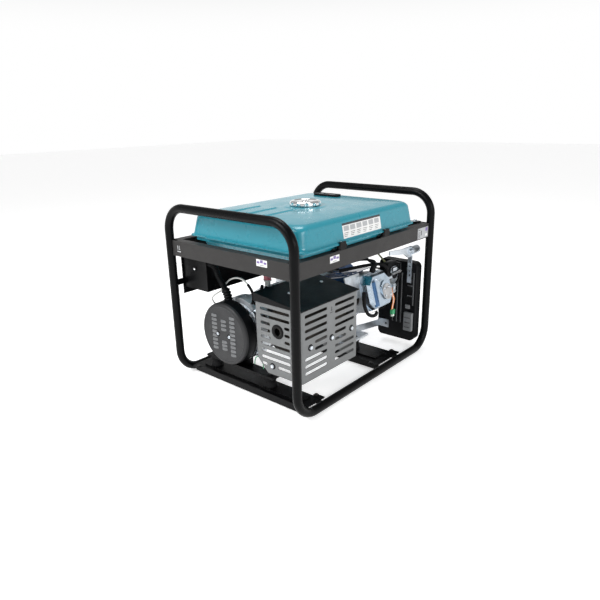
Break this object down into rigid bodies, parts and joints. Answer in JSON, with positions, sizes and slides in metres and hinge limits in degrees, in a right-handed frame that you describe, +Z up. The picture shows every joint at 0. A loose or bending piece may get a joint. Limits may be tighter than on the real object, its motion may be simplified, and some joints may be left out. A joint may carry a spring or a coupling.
{
  "type": "portable generator",
  "caption": "Open-frame petrol generator: round-tube cage with two end handles, steel tank on top, engine, muffler in a slotted guard, alternator and side control panel.",
  "frame": {"origin": "centre of the footprint, on the floor under the bottom tubes", "axes": "+Z up, X along the crankshaft with +X at the alternator end, -Y at the control panel, +Y at the muffler"},
  "size_m": [0.7, 0.513, 0.548],
  "materials": {
    "black_tube": "semi-gloss black powder coat",
    "grey_steel": "warm dark grey paint, satin",
    "black_steel": "satin black paint",
    "teal_paint": "glossy teal paint",
    "guard_grey": "satin mid-grey paint",
    "navy_paint": "metallic navy paint",
    "rubber": "matte black rubber",
    "zinc": "bright zinc plate",
    "steel": "bare steel",
    "copper_coils": "laminated steel with varnished copper coils",
    "chrome": "polished chrome",
    "cast_aluminium": "as-cast aluminium",
    "bright_aluminium": "bright machined and polished cast aluminium",
    "aluminised": "aluminised steel, heat tinted",
    "cast_iron": "cast iron",
    "black_plastic": "moulded black plastic, fine texture",
    "cover_plastic": "moulded dark grey-black plastic, satin",
    "blue_plastic": "gloss blue plastic",
    "white_plastic": "white cable sheath"
  },
  "bodies": {
    "frame": {"alternator_end_hoop": "black_tube", "engine_end_hoop": "black_tube", "bottom_rails": "black_tube", "front_upper_rail": "grey_steel", "rear_upper_rail": "grey_steel", "alternator_upper_rail": "grey_steel", "engine_upper_rail": "grey_steel", "alternator_crossmember": "black_steel", "engine_crossmember": "black_steel", "rubber_mounts": "rubber", "frame_bolts": "zinc", "tank_upper_shell": "teal_paint", "tank_lower_shell": "teal_paint", "filler_neck": "steel", "fuel_gauge": "black_plastic", "tank_clips": "black_steel", "fuel_cock": "cast_aluminium", "fuel_hose": "rubber", "muffler_guard": "guard_grey", "muffler_shield": "black_steel", "muffler_canister": "aluminised", "exhaust_pipe": "aluminised", "machine_bolts": "zinc", "alternator_cover": "cover_plastic", "end_bracket": "cast_aluminium", "alternator_foot": "black_steel", "rear_bearing": "steel", "stator": "copper_coils", "drive_bracket": "cast_aluminium", "crankcase": "cast_aluminium", "cylinder": "cast_aluminium", "valve_cover": "bright_aluminium", "cylinder_shroud": "navy_paint", "fan_housing": "navy_paint", "recoil_cover": "navy_paint", "carburettor": "cast_aluminium", "air_filter_base": "black_plastic", "filter_bracket": "zinc", "choke_solenoid": "zinc", "control_box": "black_steel", "control_panel": "black_steel", "panel_fittings": "black_plastic", "conduit": "black_plastic", "output_lead": "white_plastic"},
    "cap_seal": {"cap_gasket": "rubber"},
    "fuel_cap": {"fuel_cap": "chrome"},
    "fuel_tap": {"fuel_cock_lever": "zinc"},
    "shaft_line": {"crankshaft": "steel", "flywheel": "cast_iron", "rotor": "copper_coils", "rotor_fan": "black_plastic"},
    "recoil_pulley": {"recoil_pulley": "black_plastic"},
    "recoil_grip": {"recoil_handle": "black_plastic"},
    "oil_dipstick": {"oil_dipstick": "black_plastic"},
    "choke": {"choke_lever": "black_plastic"},
    "filter_lid": {"air_filter_cover": "black_plastic"},
    "small_lid": {"small_socket_lid": "black_plastic"},
    "large_lid": {"large_socket_lid": "blue_plastic"},
    "breaker_toggle": {"breaker_toggle": "black_plastic"},
    "ignition_key": {"ignition_key": "steel"}
  },
  "joints": [
    {"name": "cap_lift", "type": "slide", "parent": "frame", "child": "cap_seal", "axis": [0, 0, 1], "range_m": [0, 0.08]},
    {"name": "cap_turn", "type": "hinge", "parent": "cap_seal", "child": "fuel_cap", "pos_m": [0.045, 0.033, 0.535], "axis": [0, 0, 1], "range_deg": [0, 90]},
    {"name": "fuel_tap_turn", "type": "hinge", "parent": "frame", "child": "fuel_tap", "pos_m": [-0.15, 0.13, 0.382], "axis": [0, 1, 0], "range_deg": [0, 90]},
    {"name": "shaft_spin", "type": "hinge", "parent": "frame", "child": "shaft_line", "pos_m": [0, -0.081, 0.164], "axis": [1, 0, 0], "continuous": true},
    {"name": "recoil_pull", "type": "slide", "parent": "frame", "child": "recoil_grip", "axis": [0, -1, 0], "range_m": [0, 0.6], "stiffness_N_per_m": 8, "springref_m": -0.6},
    {"name": "recoil_pulley_spin", "type": "hinge", "parent": "frame", "child": "recoil_pulley", "pos_m": [-0.318, -0.081, 0.164], "axis": [-1, 0, 0], "range_deg": [0, 710]},
    {"name": "dipstick_lift", "type": "slide", "parent": "frame", "child": "oil_dipstick", "axis": [0, -0.766, 0.6428], "range_m": [0, 0.06]},
    {"name": "choke_turn", "type": "hinge", "parent": "frame", "child": "choke", "pos_m": [-0.256, 0.124, 0.27], "axis": [0, 0, 1], "range_deg": [0, 50]},
    {"name": "filter_lid_off", "type": "slide", "parent": "frame", "child": "filter_lid", "axis": [-1, 0, 0], "range_m": [0, 0.15]},
    {"name": "small_lid_swing", "type": "hinge", "parent": "frame", "child": "small_lid", "pos_m": [0.06, -0.2514, 0.348], "axis": [-1, 0, 0], "range_deg": [0, 110], "stiffness_Nm_per_rad": 0.02, "springref_deg": -34.38},
    {"name": "large_lid_swing", "type": "hinge", "parent": "frame", "child": "large_lid", "pos_m": [0.15, -0.2514, 0.356], "axis": [-1, 0, 0], "range_deg": [0, 110], "stiffness_Nm_per_rad": 0.03, "springref_deg": -34.38},
    {"name": "breaker_flip", "type": "hinge", "parent": "frame", "child": "breaker_toggle", "pos_m": [0.222, -0.24, 0.345], "axis": [1, 0, 0], "range_deg": [0, 50]},
    {"name": "key_turn", "type": "hinge", "parent": "frame", "child": "ignition_key", "pos_m": [0.272, -0.243, 0.345], "axis": [0, 1, 0], "range_deg": [0, 90]}
  ],
  "couplings": [
    {"joint": "recoil_pulley_spin", "follows": "recoil_pull", "rad_per_m": 20.408}
  ]
}
